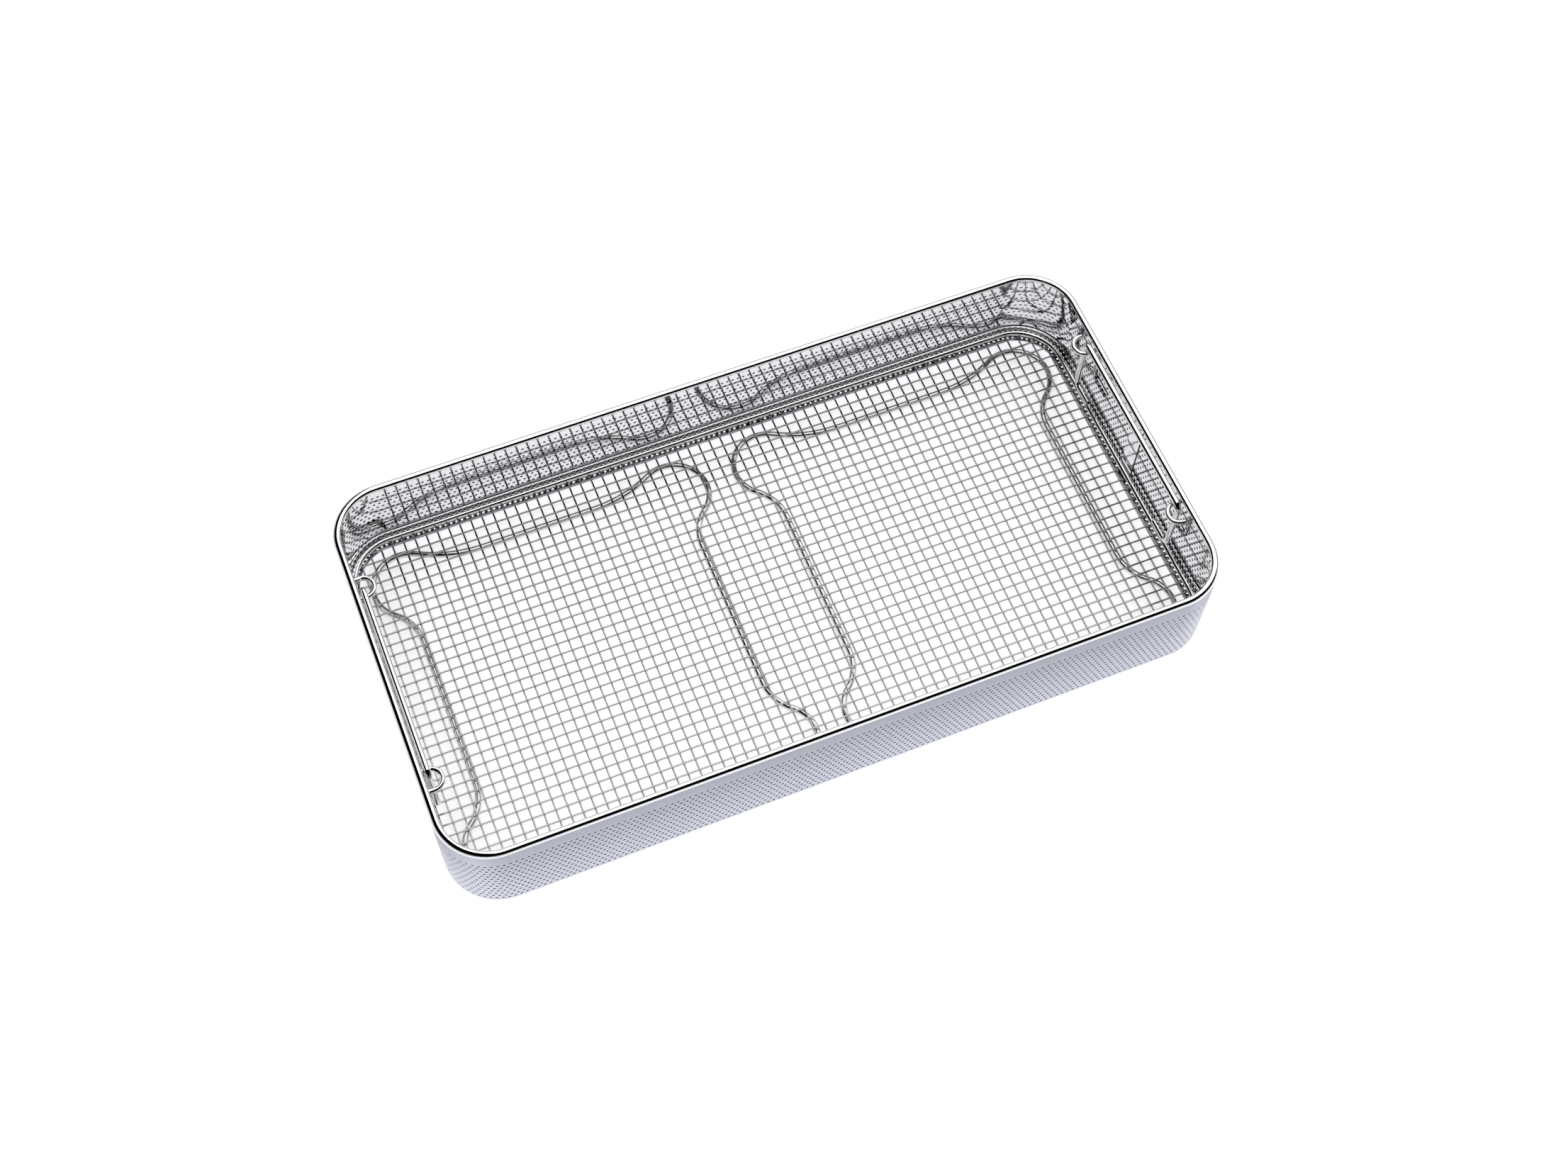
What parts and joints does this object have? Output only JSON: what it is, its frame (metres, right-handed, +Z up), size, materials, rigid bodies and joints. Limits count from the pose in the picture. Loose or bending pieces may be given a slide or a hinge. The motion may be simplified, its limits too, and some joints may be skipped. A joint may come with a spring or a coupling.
{
  "type": "instrument tray",
  "caption": "Rectangular wire-bottomed instrument tray with a perforated side wall, wire feet and a lift-up handle at each end.",
  "frame": {"origin": "middle of the tray's plan on the plane that its wire feet rest on", "axes": "+X along the length, +Y across the width towards the back, +Z up"},
  "size_m": [0.48, 0.25, 0.07],
  "materials": {
    "wall_sheet": "electropolished stainless sheet, satin outside and bright inside, perforated all round",
    "polished_rod": "mirror-polished stainless round rod",
    "mesh_wire": "bright stainless welded wire",
    "foot_wire": "polished stainless round wire",
    "eye_wire": "polished stainless round wire, welded to the wall",
    "handle_wire": "mirror-polished stainless round wire"
  },
  "bodies": {
    "tray": {"side_wall": "wall_sheet", "wall_flange": "wall_sheet", "rim_rod": "polished_rod", "base_ring": "polished_rod", "mesh_wires_crosswise": "mesh_wire", "mesh_wires_lengthwise": "mesh_wire", "foot_wire_left": "foot_wire", "foot_wire_right": "foot_wire", "handle_eye_left_front": "eye_wire", "handle_eye_left_back": "eye_wire", "handle_eye_right_front": "eye_wire", "handle_eye_right_back": "eye_wire"},
    "handle_left": {"handle_left": "handle_wire"},
    "handle_right": {"handle_right": "handle_wire"}
  },
  "joints": [
    {"name": "left_handle_lift", "type": "slide", "parent": "tray", "child": "handle_left", "axis": [0, 0, 1], "range_m": [0, 0.036]},
    {"name": "right_handle_lift", "type": "slide", "parent": "tray", "child": "handle_right", "axis": [0, 0, 1], "range_m": [0, 0.036]}
  ]
}
